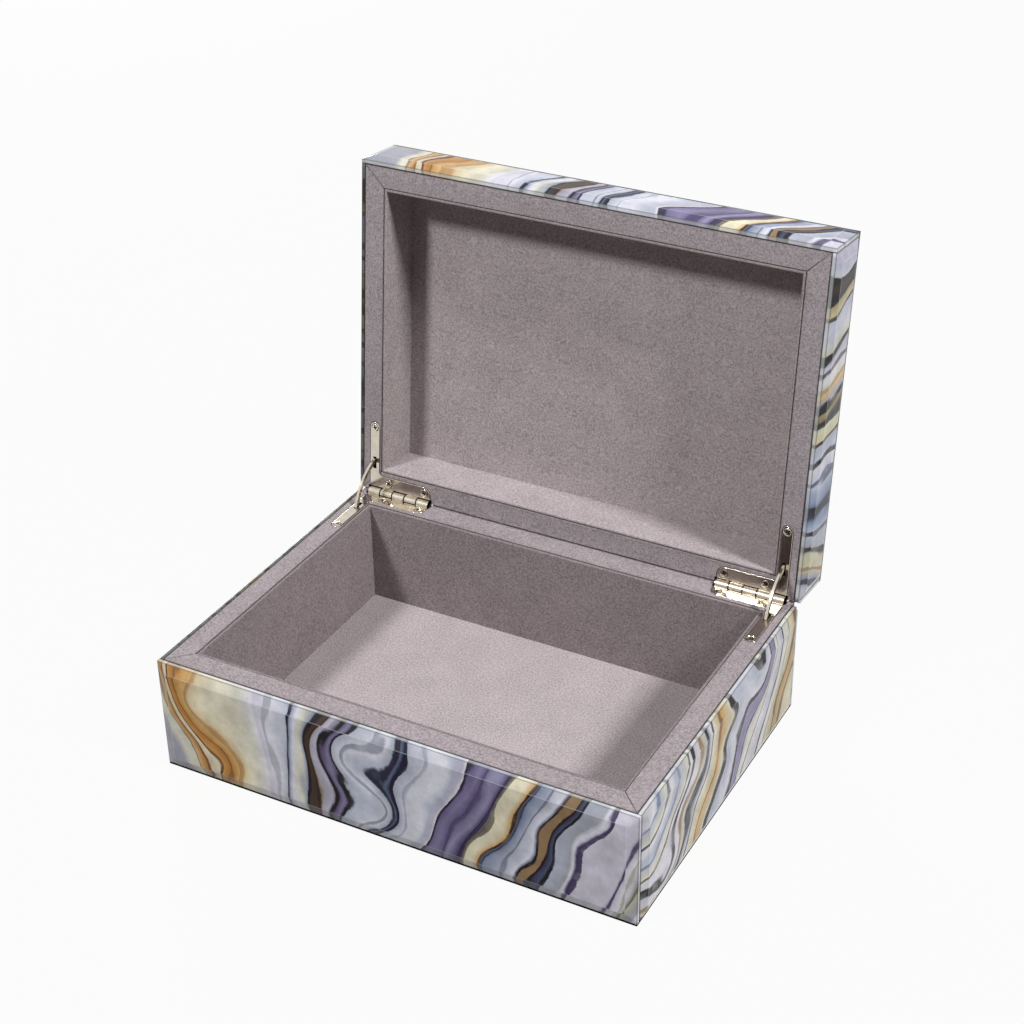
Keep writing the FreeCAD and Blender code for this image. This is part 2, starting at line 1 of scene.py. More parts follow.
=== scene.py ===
# A keepsake box in bevelled, back-printed glass: its looks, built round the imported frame
import json
import math

import bmesh
import bpy
import numpy as np
from mathutils import Matrix, Vector


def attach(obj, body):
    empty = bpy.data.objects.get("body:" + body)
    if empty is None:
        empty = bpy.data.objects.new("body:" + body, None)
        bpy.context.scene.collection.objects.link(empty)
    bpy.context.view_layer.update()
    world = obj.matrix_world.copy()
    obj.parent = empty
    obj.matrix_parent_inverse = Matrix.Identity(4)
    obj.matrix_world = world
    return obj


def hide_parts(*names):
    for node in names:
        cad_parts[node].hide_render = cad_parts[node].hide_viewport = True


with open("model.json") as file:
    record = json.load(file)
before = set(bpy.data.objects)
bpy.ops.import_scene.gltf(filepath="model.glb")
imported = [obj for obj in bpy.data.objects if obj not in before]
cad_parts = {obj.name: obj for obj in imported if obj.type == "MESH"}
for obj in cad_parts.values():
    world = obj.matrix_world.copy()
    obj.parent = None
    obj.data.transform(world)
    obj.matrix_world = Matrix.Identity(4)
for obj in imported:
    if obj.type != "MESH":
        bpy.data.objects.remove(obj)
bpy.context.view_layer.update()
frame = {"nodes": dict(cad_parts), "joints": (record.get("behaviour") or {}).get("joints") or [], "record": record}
mm = 0.001
bodyOf = {node: body for body, nodes in frame["record"]["behaviour"]["bodies"].items() for node in nodes}
lidJoint = next(joint for joint in frame["joints"] if joint["name"] == "lid_hinge")
openTurn = math.radians(lidJoint["range_deg"][1])
axisY, axisZ = (1000 * place for place in lidJoint["pos_m"][1:])
print("frame loaded:", len(frame["nodes"]), "nodes, lid open by", lidJoint["range_deg"][1], "degrees")

# Inks of the print and the other finishes, as they look under white light
inks = dict(
    oat="#c8c6b0", bone="#dedbcb", sand="#d9c396", honey="#d2a563", amber="#b97f3b", rust="#6b3611",
    cream="#ebe3c8", milk="#e7e5eb", lilac="#c0bace", violet="#665b87", dusk="#877ea2", pearl="#dddbe3",
    deepViolet="#40325a", ink="#1f1530", mist="#b8becf", cloud="#e2e2ee", slate="#7d8aa8", ash="#c9c8d2",
    storm="#4d5775", plum="#32223a", tan="#977a5a", umber="#46332b", soot="#1b1519", grey="#aaabb6",
    orange="#d2a35c", lavender="#d6d2e1", heather="#9a94b5", olive="#86856c", straw="#cfc3a0",
    khaki="#ab9c78",
)


def linearColour(code, alpha=1.0):
    # Screen colour to the linear values that shaders take
    shares = [int(code[start:start + 2], 16) / 255 for start in (1, 3, 5)]
    return (*[s / 12.92 if s <= 0.04045 else ((s + 0.055) / 1.055) ** 2.4 for s in shares], alpha)


# Places: lid pieces are worked out on the closed box and swung open with it
def swing(points, turn):
    # Turns points about the hinge axis, positive towards open
    y, z = points[:, 1] - axisY, points[:, 2] - axisZ
    c, s = math.cos(turn), math.sin(turn)
    return np.column_stack([points[:, 0], axisY + y * c + z * s, axisZ - y * s + z * c])


def meshPoints(node):
    # Vertices of a CAD node as it stands, in millimetres
    mesh = frame["nodes"][node].data
    points = np.empty(len(mesh.vertices) * 3)
    mesh.vertices.foreach_get("co", points)
    return points.reshape(-1, 3) / mm


def closedPoints(node):
    # Vertices of a CAD node on the closed box
    points = meshPoints(node)
    return swing(points, -openTurn) if bodyOf[node] == "lid" else points


def closedBox(node):
    # Lowest and highest corner of a CAD node on the closed box
    points = closedPoints(node)
    return points.min(0), points.max(0)


def addPiece(name, node, points, faces, material, fields=()):
    # A new mesh that stands for a CAD node and rides on its body
    if bodyOf[node] == "lid":
        points = swing(points, openTurn)
    mesh = bpy.data.meshes.new(name)
    mesh.from_pydata((points * mm).tolist(), [], faces)
    mesh.polygons.foreach_set("use_smooth", [True] * len(mesh.polygons))
    for field, values in dict(fields).items():
        mesh.attributes.new(field, "FLOAT", "POINT").data.foreach_set("value", values.astype(np.float32))
    mesh.materials.append(material)
    mesh.update()
    piece = bpy.data.objects.new(name, mesh)
    bpy.context.scene.collection.objects.link(piece)
    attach(piece, bodyOf[node])
    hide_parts(node)
    return piece


def ringFaces(ringCount, perRing):
    # Quads between closed rings that follow one another outwards
    ring, step = np.meshgrid(np.arange(ringCount - 1), np.arange(perRing), indexing="ij")
    here, above = ring * perRing, (ring + 1) * perRing
    after = (step + 1) % perRing
    corners = (here + step, here + after, above + after, above + step)
    return np.stack([corner.ravel() for corner in corners], 1).tolist()


def cappedRings(ringCount, perRing):
    # The same quads, closed by a face in the first ring and one in the last
    last = (ringCount - 1) * perRing
    caps = [list(range(perRing))[::-1], list(range(last, last + perRing))]
    return ringFaces(ringCount, perRing) + caps


# Node helpers
def put(tree, kind, sockets=(), **settings):
    # A node with its settings, each socket linked or set
    node = tree.nodes.new(kind)
    for name, setting in settings.items():
        setattr(node, name, setting)
    for socket, given in dict(sockets).items():
        if isinstance(given, bpy.types.NodeSocket):
            tree.links.new(given, node.inputs[socket])
        else:
            node.inputs[socket].default_value = given
    return node


def maths(tree, operation, *given):
    return put(tree, "ShaderNodeMath", enumerate(given), operation=operation).outputs[0]


def lengthOf(tree, x, y):
    # Length of the vector (x, y, 0)
    vector = put(tree, "ShaderNodeCombineXYZ", {0: x, 1: y}).outputs[0]
    return put(tree, "ShaderNodeVectorMath", {0: vector}, operation="LENGTH").outputs["Value"]


def mixed(tree, share, low, high, mode="MIX"):
    # Colour mix of low and high by share
    sockets = {0: share, 6: low, 7: high}
    return put(tree, "ShaderNodeMix", sockets, data_type="RGBA", blend_type=mode).outputs[2]


def spread(tree, value, fromLow, fromHigh, toLow=0.0, toHigh=1.0):
    # The value carried from one span to another, held at the ends
    sockets = {0: value, 1: fromLow, 2: fromHigh, 3: toLow, 4: toHigh}
    return put(tree, "ShaderNodeMapRange", sockets).outputs[0]


def noise(tree, vector, scale, detail=2.0, roughness=0.5):
    sockets = {"Vector": vector, "Scale": scale, "Detail": detail, "Roughness": roughness}
    return put(tree, "ShaderNodeTexNoise", sockets).outputs["Fac"]


def objectPlace(tree, stretch=(1, 1, 1)):
    # The piece's own coordinates, in metres
    place = put(tree, "ShaderNodeTexCoord").outputs["Object"]
    return put(tree, "ShaderNodeMapping", {"Vector": place, "Scale": stretch}).outputs["Vector"]


def ownField(tree, field):
    # A value stored at the mesh's points, 0 where the mesh has none
    return put(tree, "ShaderNodeAttribute", attribute_name=field).outputs["Fac"]


def addRelief(tree, shader, height, strength, depth):
    # Fine relief on the shader's normal, depth in metres
    bump = put(tree, "ShaderNodeBump", {"Height": height, "Strength": strength, "Distance": depth})
    tree.links.new(bump.outputs[0], shader.inputs["Normal"])


def newGroup(name, inputs, outputs):
    # A shader node group with named sockets, given as (name, kind) pairs
    tree = bpy.data.node_groups.new(name, "ShaderNodeTree")
    for way, sockets in (("INPUT", inputs), ("OUTPUT", outputs)):
        for label, kind in sockets:
            tree.interface.new_socket(name=label, in_out=way, socket_type=f"NodeSocket{kind}")
    return tree, tree.nodes.new("NodeGroupInput").outputs, tree.nodes.new("NodeGroupOutput").inputs


def useGroup(tree, group, sockets):
    return put(tree, "ShaderNodeGroup", sockets, node_tree=group).outputs


def newMaterial(name, constants):
    # A material with one Principled shader, its constants set on the sockets
    material = bpy.data.materials.new(name)
    material.use_nodes = True
    shader = material.node_tree.nodes["Principled BSDF"]
    for socket, constant in constants.items():
        shader.inputs[socket].default_value = constant
    return material, material.node_tree, shader


def rampOf(tree, value, stops):
    # Colour ramp over a distance in millimetres, stops given as (distance, linear colour)
    low, high = stops[0][0], stops[-1][0]
    node = put(tree, "ShaderNodeValToRGB", {0: spread(tree, value, low, high)})
    elements = node.color_ramp.elements
    for element, (distance, colour) in zip((elements[0], elements[1]), (stops[0], stops[-1])):
        element.position = (distance - low) / (high - low)
        element.color = colour
    for distance, colour in stops[1:-1]:
        element = elements.new((distance - low) / (high - low))
        element.color = colour
    return node.outputs


# Watercolour agate, printed on the back of the glass
# washes are (distance across the bands, ink); lines are (distance, ink, bleed before, bleed after, strength)
frontPrint = dict(
    washes=(
        (0, "grey"), (5, "bone"), (9, "bone"), (9.6, "sand"), (14, "amber"), (15.2, "sand"), (18.4, "bone"),
        (19, "honey"), (23, "amber"), (27, "honey"), (31, "sand"), (38, "cream"), (47, "bone"),
        (55, "milk"), (56.7, "lavender"), (63.3, "cloud"), (69.3, "mist"), (70.5, "slate"), (74.3, "cloud"),
        (78.3, "bone"), (81.7, "slate"), (82.5, "umber"), (86.8, "umber"), (87.9, "tan"), (88.7, "grey"),
        (92.3, "lilac"), (94.3, "plum"), (98.3, "dusk"), (100.3, "soot"), (101.3, "mist"), (109.3, "cloud"),
        (113.3, "mist"), (114.3, "slate"), (116.8, "storm"), (118.5, "deepViolet"), (119.3, "mist"),
        (125.3, "cloud"), (134.3, "cloud"), (140.3, "mist"), (143.8, "lilac"), (145.9, "milk"),
        (146.5, "violet"), (152.3, "dusk"), (157.3, "violet"), (162.3, "heather"), (166.3, "violet"),
        (169.5, "deepViolet"), (171.3, "oat"), (172.8, "cream"), (177.3, "cream"), (181.5, "orange"),
        (183, "storm"), (184.6, "slate"), (191, "mist"), (196, "cloud"), (197.2, "slate"), (198, "tan"),
        (202, "tan"), (202.8, "plum"), (206, "storm"), (207.2, "plum"), (208, "mist"), (214, "grey"),
        (215.8, "cloud"), (218, "heather"), (219, "lavender"), (231, "lavender"), (233, "heather"),
        (235, "lavender"), (238, "milk"), (240, "ash"), (242.4, "olive"), (244, "oat"), (247, "grey"),
        (250, "milk"), (256, "lavender"),
    ),
    lines=(
        (9.4, "rust", 0.4, 1.0, 0.7), (14.8, "rust", 0.6, 0.7, 0.95), (19.2, "rust", 0.6, 1.2, 1.0),
        (24, "rust", 0.3, 0.9, 0.6), (29, "amber", 0.4, 3.5, 0.7), (61.3, "grey", 0.6, 1.4, 0.7),
        (69.7, "ink", 0.6, 1.4, 1.0), (82.1, "soot", 0.7, 1.6, 1.0), (87.3, "soot", 1.2, 0.5, 0.8),
        (94.1, "soot", 0.6, 1.8, 1.0), (100.5, "soot", 1.2, 0.5, 1.0), (107.8, "storm", 0.4, 2.0, 0.6),
        (114.1, "ink", 0.6, 1.8, 0.95), (118.7, "ink", 2.2, 0.5, 1.0), (124.3, "slate", 0.4, 1.4, 0.5),
        (146.3, "ink", 0.5, 2.2, 0.95), (157.3, "deepViolet", 1.2, 1.6, 0.5), (169.3, "ink", 2.6, 0.6, 1.0),
        (171.9, "umber", 2.5, 0.5, 0.75), (182.2, "umber", 1.8, 0.5, 0.95), (184, "soot", 3.0, 0.6, 1.0),
        (190.5, "deepViolet", 0.6, 1.0, 0.6), (198, "soot", 0.6, 1.0, 1.0), (202.6, "soot", 0.6, 0.9, 1.0),
        (207.4, "soot", 1.6, 0.5, 1.0), (219, "deepViolet", 2.4, 0.5, 0.95),
        (233, "deepViolet", 0.8, 1.4, 0.9), (238.5, "khaki", 0.4, 0.8, 0.6),
        (242.5, "umber", 0.5, 1.2, 0.5), (248, "slate", 0.5, 1.0, 0.5),
    ),
)
sidePrint = dict(
    washes=(
        (0, "straw"), (6, "ash"), (11, "pearl"), (17, "mist"), (22, "bone"), (28, "pearl"), (32, "mist"),
        (37, "ash"), (42, "bone"), (47, "pearl"), (52, "lavender"), (56, "pearl"), (59, "straw"), (63, "ash"),
        (68, "grey"), (70, "pearl"), (74, "bone"), (78, "straw"), (83, "honey"), (88, "straw"), (91, "bone"),
        (94, "ash"), (97, "mist"), (105, "pearl"), (107, "heather"), (114, "dusk"), (117, "lilac"),
        (121, "bone"), (128, "pearl"), (136, "ash"), (143, "pearl"), (148, "bone"), (155, "straw"),
        (161, "khaki"), (167, "orange"), (173, "straw"), (190, "bone"),
    ),
    lines=(
        (15, "slate", 1.0, 1.8, 0.9), (24, "storm", 1.4, 1.6, 1.0), (35, "slate", 1.0, 2.0, 0.9),
        (44, "umber", 1.0, 1.6, 0.9), (50.5, "soot", 1.8, 2.2, 1.0), (58, "tan", 0.8, 2.2, 0.9),
        (65, "soot", 2.4, 2.8, 1.0), (71.5, "plum", 0.8, 1.4, 0.9), (81, "rust", 0.8, 1.8, 0.75),
        (92.5, "soot", 2.4, 2.4, 1.0), (106.5, "ink", 2.6, 1.6, 1.0), (116.5, "plum", 1.0, 1.4, 0.9),
        (124, "umber", 0.8, 1.4, 0.8), (141, "soot", 2.2, 2.2, 1.0), (150, "slate", 0.8, 1.6, 0.8),
        (160, "rust", 1.2, 2.0, 0.9), (170, "umber", 1.2, 2.0, 0.9),
    ),
)
lidSidePrint = dict(
    washes=(
        (0, "lilac"), (4, "mist"), (8, "ash"), (9.5, "umber"), (20, "soot"), (22, "khaki"), (28, "straw"),
        (30, "mist"), (37, "ash"), (42, "oat"), (46, "grey"), (56, "pearl"), (60, "straw"), (65, "honey"),
        (66.5, "grey"), (72, "khaki"), (79, "umber"), (81, "oat"), (88, "straw"), (91, "grey"), (99, "mist"),
        (102, "pearl"), (112, "mist"), (118, "slate"), (124, "storm"), (130, "slate"), (136, "mist"),
        (146, "grey"), (150, "oat"), (159, "straw"), (165, "slate"), (174, "ash"),
    ),
    lines=(
        (9.5, "soot", 1.2, 4.2, 1.0), (20.5, "soot", 4.4, 1.0, 1.0), (29, "umber", 2.6, 0.8, 1.0),
        (44.5, "soot", 1.4, 2.6, 1.0), (52, "plum", 1.2, 2.4, 1.0), (59.5, "khaki", 1.0, 2.4, 0.9),
        (70.5, "soot", 2.2, 2.8, 1.0), (80, "soot", 4.4, 1.2, 1.0), (90, "umber", 1.2, 2.0, 1.0),
        (101, "soot", 2.4, 1.8, 1.0), (110, "storm", 1.0, 2.0, 0.9), (124, "ink", 4.6, 4.6, 1.0),
        (136, "plum", 1.4, 2.6, 1.0), (148, "soot", 1.6, 3.0, 1.0), (158, "tan", 1.0, 2.2, 0.9),
        (166, "ink", 1.6, 3.6, 1.0),
    ),
)
# How each panel lays the bands: s = start + along a + across b - lean (b - level), pushed aside by eddies
# a runs to the right from the panel's left edge, b up from the table, or back from the front on the top
# lean is (a, lean there); eddies are (a, b, reach along a, reach along b, push)
frontLay = dict(
    start=0, along=1.0, across=0.0, level=29,
    lean=((0, -0.5), (40, -0.2), (90, 0.2), (150, 0.46), (240, 0.42)),
    eddies=((20, 42, 15, 13, 11), (40, 14, 16, 13, -10), (96, 42, 17, 14, 14), (118, 16, 18, 13, -15),
            (146, 46, 20, 14, -8), (168, 10, 16, 14, 7), (204, 36, 20, 14, 6), (226, 16, 14, 16, -5)),
)
lidFrontLay = dict(
    start=-16, along=1.0, across=0.0, level=60, lean=((0, 0.1), (100, 0.1), (160, 0.3), (240, 0.7)),
    eddies=((34, 66, 14, 9, 6), (58, 82, 16, 10, -7), (104, 84, 22, 10, -9), (150, 64, 20, 9, 8),
            (190, 82, 22, 10, -9), (214, 64, 18, 9, 7)),
)
backLay = dict(
    start=238, along=-1.0, across=0.0, level=29, lean=((0, -0.35), (120, -0.2), (240, 0.1)),
    eddies=((50, 24, 16, 14, 9), (88, 50, 18, 14, -10), (130, 18, 14, 14, 8), (168, 46, 16, 16, -8),
            (205, 20, 18, 16, 7), (110, 80, 24, 12, 6)),
)
rightLay = dict(
    start=0, along=1.0, across=0.0, level=29, lean=((0, 0.0), (90, 0.0), (140, 0.35), (174, 0.4)),
    whorl=(-2, 62, 1.05),
    eddies=((40, 32, 17, 10, 10), (22, 12, 15, 9, -9), (64, 12, 16, 12, 7), (88, 36, 9, 7, 6),
            (93, 48, 8, 6, -5), (128, 60, 15, 26, -34), (152, 18, 14, 14, 6)),
)
leftLay = dict(
    start=174, along=-1.0, across=0.0, level=29, lean=((0, 0.2), (90, -0.2), (174, 0.1)),
    eddies=((40, 50, 18, 20, 12), (80, 12, 18, 16, -9), (118, 44, 16, 18, 11), (150, 14, 16, 16, -7)),
)
rightLidLay = dict(
    start=0, along=1.0, across=0.0, level=75, lean=((0, 0.0), (60, -0.35), (110, -0.1), (174, 0.55)),
    eddies=((8, 74, 9, 9, -5), (26, 84, 12, 10, 6), (98, 70, 14, 10, 3), (128, 66, 12, 12, -4)),
)
leftLidLay = dict(
    start=174, along=-1.0, across=0.0, level=75, lean=((0, 0.3), (174, -0.2)),
    eddies=((36, 70, 14, 12, 6), (90, 82, 14, 12, -6), (136, 72, 14, 12, 5)),
)
topLay = dict(
    start=26, along=0.56, across=0.42, level=0, lean=((0, 0.0), (240, 0.0)),
    eddies=((50, 120, 34, 30, -22), (92, 60, 28, 30, 18), (150, 128, 30, 26, -20), (186, 50, 30, 30, 20),
            (118, 96, 20, 20, 9), (220, 140, 24, 30, 14), (24, 40, 24, 24, -12)),
)
# Small waves as (height, length up, length along, phase)
ripples = ((0.6, 17.0, 41.0, 0.6), (0.2, 6.1, -23.0, 2.0))


def bandField(lay, a, b):
    # Distance across the bands at each point of a panel, in millimetres
    lean = np.interp(a, *zip(*lay["lean"]))
    startA = a
    if "whorl" in lay:
        # Bands curl round a point: distance from it, with b stretched
        centreA, centreB, stretch = lay["whorl"]
        startA = np.hypot(a - centreA, stretch * (b - centreB))
    s = lay["start"] + lay["along"] * startA + lay["across"] * b - lean * (b - lay["level"])
    for centreA, centreB, wideA, wideB, push in lay["eddies"]:
        s = s + push * np.exp(-(((a - centreA) / wideA) ** 2) - ((b - centreB) / wideB) ** 2)
    for high, alongB, alongA, phase in ripples:
        s = s + high * np.sin(b / alongB + a / alongA + phase)
    return s


# Pigment on paper: scales in waves per metre, drift, apart and jitter in millimetres, spans of the noise
pigment = dict(
    driftScale=36.0, drift=12.0, apart=9.0, jitterScale=300, jitter=1.1,
    poolScale=95, poolSpan=(0.3, 0.7), pooled=(0.9, 1.3),
    breakScale=110, breakSpan=(0.32, 0.55), faintest=0.7,
    grainScale=1700, grainSpan=(0.3, 0.7), grained=(0.95, 1.04),
    lineCore=0.6,
)
rampStops = 32  # as many as one colour ramp holds
noiseMiddle = 0.5


def watercolourGroup():
    # Wandering edges that differ from band to band, pooled pigment, broken lines and paper grain
    outputs = [("Wander", "Float"), ("Pool", "Float"), ("Breaks", "Float"), ("Grain", "Float")]
    tree, given, result = newGroup("watercolour", [("Band", "Float")], outputs)
    place = objectPlace(tree)
    # W is scaled like the place, so bands that are apart drift on their own
    drift = {"Vector": place, "Scale": pigment["driftScale"], "Detail": 1.0}
    drift["W"] = maths(tree, "DIVIDE", given["Band"], pigment["apart"] * pigment["driftScale"])
    broad = put(tree, "ShaderNodeTexNoise", drift, noise_dimensions="4D").outputs["Fac"]
    fine = noise(tree, place, pigment["jitterScale"], detail=3.0, roughness=0.6)
    # Both swing about the noise's middle
    broad, fine = (maths(tree, "SUBTRACT", wave, noiseMiddle) for wave in (broad, fine))
    wander = maths(tree, "MULTIPLY", broad, pigment["drift"])
    tree.links.new(maths(tree, "MULTIPLY_ADD", fine, pigment["jitter"], wander), result["Wander"])
    pool = noise(tree, place, pigment["poolScale"], detail=4.0, roughness=0.6)
    tree.links.new(spread(tree, pool, *pigment["poolSpan"]), result["Pool"])
    breaks = noise(tree, place, pigment["breakScale"])
    tree.links.new(spread(tree, breaks, *pigment["breakSpan"], pigment["faintest"], 1.0), result["Breaks"])
    grain = noise(tree, place, pigment["grainScale"], detail=2.0, roughness=0.7)
    tree.links.new(spread(tree, grain, *pigment["grainSpan"]), result["Grain"])
    return tree


# Glass: sizes in millimetres; each span of a mark is where it starts and where it is full
glass = dict(
    bevelWidth=5.0, bevelDepth=1.8, arris=0.16, support=0.5, hair=0.01, jog=0.7, cell=2.2,
    bevelShadeTone="#7d8288", bevelShade=0.12, bevelStep=0.2,
    arrisHighlight="#f4f7f6", startHighlight=0.28, startSpan=(0.3, 0.1),
    clearLand=("#e2e6e4", 0.4), shadedLand=("#3d4039", 0.8), landSpan=(0.12, 0.03),
    cornerShadeTone="#43463f", cornerShade=0.55, cornerSpan=(0.5, 0.25),
    seamTone="#2b2927", seamLine=0.85, seamSpan=(0.65, 0.4),
    roughness=0.03, groundRoughness=0.3, ior=1.52, shine=0.07,
)


def cutEdgeGroup():
    # What the cut does to the print: bevels greyed as painted shade, a painted highlight where the bevel starts,
    # lands pale or painted dark as shade, painted shade along the outer arris and a dark glued seam
    inputs = [("Print", "Color"), ("Inset", "Float"), ("Rise", "Float")]
    inputs += [("Land", "Color"), ("LandShare", "Float")]
    tree, given, result = newGroup("cutEdge", inputs, [("Color", "Color"), ("Roughness", "Float")])
    width = glass["bevelWidth"]
    low, high = closedBox("base_front_glass")
    land = high[1] - low[1] - glass["bevelDepth"]
    # Painted shade: the bevels greyed towards the bevel tone
    onBevel = spread(tree, given["Inset"], width, width - glass["bevelStep"])
    shadeOnBevel = maths(tree, "MULTIPLY", onBevel, glass["bevelShade"])
    colour = mixed(tree, shadeOnBevel, given["Print"], linearColour(glass["bevelShadeTone"]))
    # Painted highlight: a pale line where the bevel meets the face, with its glass also made rougher
    fromStart = maths(tree, "ABSOLUTE", maths(tree, "SUBTRACT", given["Inset"], width))
    startHighlight = spread(tree, fromStart, *glass["startSpan"], 0.0, glass["startHighlight"])
    colour = mixed(tree, startHighlight, colour, linearColour(glass["arrisHighlight"]))
    # The land in its pale tone, or in the dark land tone as painted shade on the left and top panels
    onLand = spread(tree, given["Inset"], *glass["landSpan"])
    colour = mixed(tree, maths(tree, "MULTIPLY", onLand, given["LandShare"]), colour, given["Land"])
    # Painted shade: a dark line along the outer arris where the land meets the bevel, with its glass also made
    # rougher
    fromCorner = lengthOf(tree, given["Inset"], maths(tree, "SUBTRACT", given["Rise"], land))
    cornerShade = spread(tree, fromCorner, *glass["cornerSpan"], 0.0, glass["cornerShade"])
    colour = mixed(tree, cornerShade, colour, linearColour(glass["cornerShadeTone"]))
    atSeam = spread(tree, given["Rise"], *glass["seamSpan"], 0.0, glass["seamLine"])
    colour = mixed(tree, atSeam, colour, linearColour(glass["seamTone"]))
    tree.links.new(colour, result["Color"])
    ground = maths(tree, "MAXIMUM", startHighlight, cornerShade)
    rough = maths(tree, "MULTIPLY_ADD", ground, glass["groundRoughness"], glass["roughness"])
    tree.links.new(rough, result["Roughness"])
    return tree


watercolour = watercolourGroup()
cutEdge = cutEdgeGroup()


def printedGlass(name, design, land):
    # Washes by the distance across the bands, pooled, then dark lines, paper grain and the marks of the cut
    material, tree, shader = newMaterial(name, {"IOR": glass["ior"], "Specular IOR Level": glass["shine"]})
    laid = ownField(tree, "band")
    paint = useGroup(tree, watercolour, {"Band": laid})
    band = maths(tree, "ADD", laid, paint["Wander"])
    washes = [(distance, linearColour(inks[ink])) for distance, ink in design["washes"]]
    colour = rampOf(tree, band, washes[:rampStops])["Color"]
    for first in range(rampStops - 1, len(washes) - 1, rampStops - 1):
        # The next ramp starts at the last one's end
        part = washes[first:first + rampStops]
        past = maths(tree, "GREATER_THAN", band, part[0][0])
        colour = mixed(tree, past, colour, rampOf(tree, band, part)["Color"])
    pooled = spread(tree, paint["Pool"], 0.0, 1.0, *pigment["pooled"])
    colour = mixed(tree, 1.0, colour, pooled, "MULTIPLY")
    core, perRamp = pigment["lineCore"], rampStops // 4
    for first in range(0, len(design["lines"]), perRamp):
        stops = []
        for distance, ink, before, after, strength in design["lines"][first:first + perRamp]:
            places = (distance - before, distance - core * before, distance + core * after, distance + after)
            for place, alpha in zip(places, (0, strength, strength, 0)):
                stops.append((place, linearColour(inks[ink], alpha)))
        line = rampOf(tree, band, sorted(stops))
        drawn = maths(tree, "MULTIPLY", line["Alpha"], paint["Breaks"])
        colour = mixed(tree, drawn, colour, line["Color"])
    grained = spread(tree, paint["Grain"], 0.0, 1.0, *pigment["grained"])
    colour = mixed(tree, 1.0, colour, grained, "MULTIPLY")
    landTone, landShare = glass[land]
    cut = useGroup(tree, cutEdge, {
        "Print": colour, "Inset": ownField(tree, "inset"), "Rise": ownField(tree, "rise"),
        "Land": linearColour(landTone), "LandShare": landShare,
    })
    tree.links.new(cut["Color"], shader.inputs["Base Color"])
    tree.links.new(cut["Roughness"], shader.inputs["Roughness"])
    return material


# Each side's outward direction, and the one that runs along it to the right as seen from outside
panelSides = dict(
    front=((0, -1, 0), (1, 0, 0)), back=((0, 1, 0), (-1, 0, 0)), left=((-1, 0, 0), (0, -1, 0)),
    right=((1, 0, 0), (0, 1, 0)), top=((0, 0, 1), (1, 0, 0)),
)


def bevelledPanel(node, facing, lay, material):
    # Rings of the panel's outline carried up the land, over the bevel and onto the face, which is a grid
    normal, alongA = (np.array(axis, float) for axis in panelSides[facing])
    alongB = np.cross(normal, alongA)
    low, high = closedBox(node)
    middle, half = (low + high) / 2, (high - low) / 2
    halfA, halfB, thick = (float(abs(half @ axis)) for axis in (alongA, alongB, 2 * normal))
    backFace = middle - normal * thick / 2
    width, r, support = glass["bevelWidth"], glass["arris"], glass["support"]
    slope = glass["bevelDepth"] / width
    land = thick - glass["bevelDepth"]
    profile = np.array([
        (r, 0), (0, r), (0, support), (0, land - support), (0, land - r), (r, land + r * slope),
        (support, land + support * slope), (width - support, thick - support * slope),
        (width - r, thick - r * slope - glass["hair"]), (width + r, thick), (width + support, thick),
    ])
    inset, rise = profile.T
    cellsA, cellsB = (max(4, round(2 * side / glass["cell"])) for side in (halfA, halfB))
    stepA, stepB = np.linspace(-1, 1, cellsA + 1), np.linspace(-1, 1, cellsB + 1)
    ringA = np.concatenate([stepA[:-1], np.ones(cellsB), -stepA[:-1], -np.ones(cellsB)])
    ringB = np.concatenate([-np.ones(cellsA), stepB[:-1], np.ones(cellsA), -stepB[:-1]])
    perRing, rings = len(ringA), len(profile)
    # The grid's rim takes the last ring's own points
    grid = np.full((cellsB + 1, cellsA + 1), -1)
    lastRing = (rings - 1) * perRing
    grid[0, :-1] = lastRing + np.arange(cellsA)
    grid[:-1, -1] = lastRing + cellsA + np.arange(cellsB)
    grid[-1, :0:-1] = lastRing + cellsA + cellsB + np.arange(cellsA)
    grid[:0:-1, 0] = lastRing + 2 * cellsA + cellsB + np.arange(cellsB)
    inner = grid < 0
    grid[inner] = rings * perRing + np.arange(inner.sum())
    gridB, gridA = np.meshgrid(stepB, stepA, indexing="ij")
    unitA = np.concatenate([np.tile(ringA, rings), gridA[inner]])
    unitB = np.concatenate([np.tile(ringB, rings), gridB[inner]])
    insets = np.concatenate([np.repeat(inset, perRing), np.full(inner.sum(), inset[-1])])
    rises = np.concatenate([np.repeat(rise, perRing), np.full(inner.sum(), rise[-1])])
    a, b = unitA * (halfA - insets), unitB * (halfB - insets)
    points = backFace + a[:, None] * alongA + b[:, None] * alongB + rises[:, None] * normal
    # The bevel bends the view of the print outwards by the jog
    seen = np.where(insets < width, insets - glass["jog"], insets)
    printA = unitA * (halfA - seen) + halfA
    printB = unitB * (halfB - seen) + float(middle @ alongB if facing != "top" else halfB)
    fromEdge = np.minimum(halfA - np.abs(a), halfB - np.abs(b))
    fields = {"band": bandField(lay, printA, printB), "inset": fromEdge, "rise": rises}
    quads = np.stack([grid[:-1, :-1], grid[:-1, 1:], grid[1:, 1:], grid[1:, :-1]], -1).reshape(-1, 4)
    faces = ringFaces(rings, perRing) + quads.tolist() + [list(range(perRing))[::-1]]
    addPiece(node.replace("glass", "bevelled_glass"), node, points, faces, material, fields)
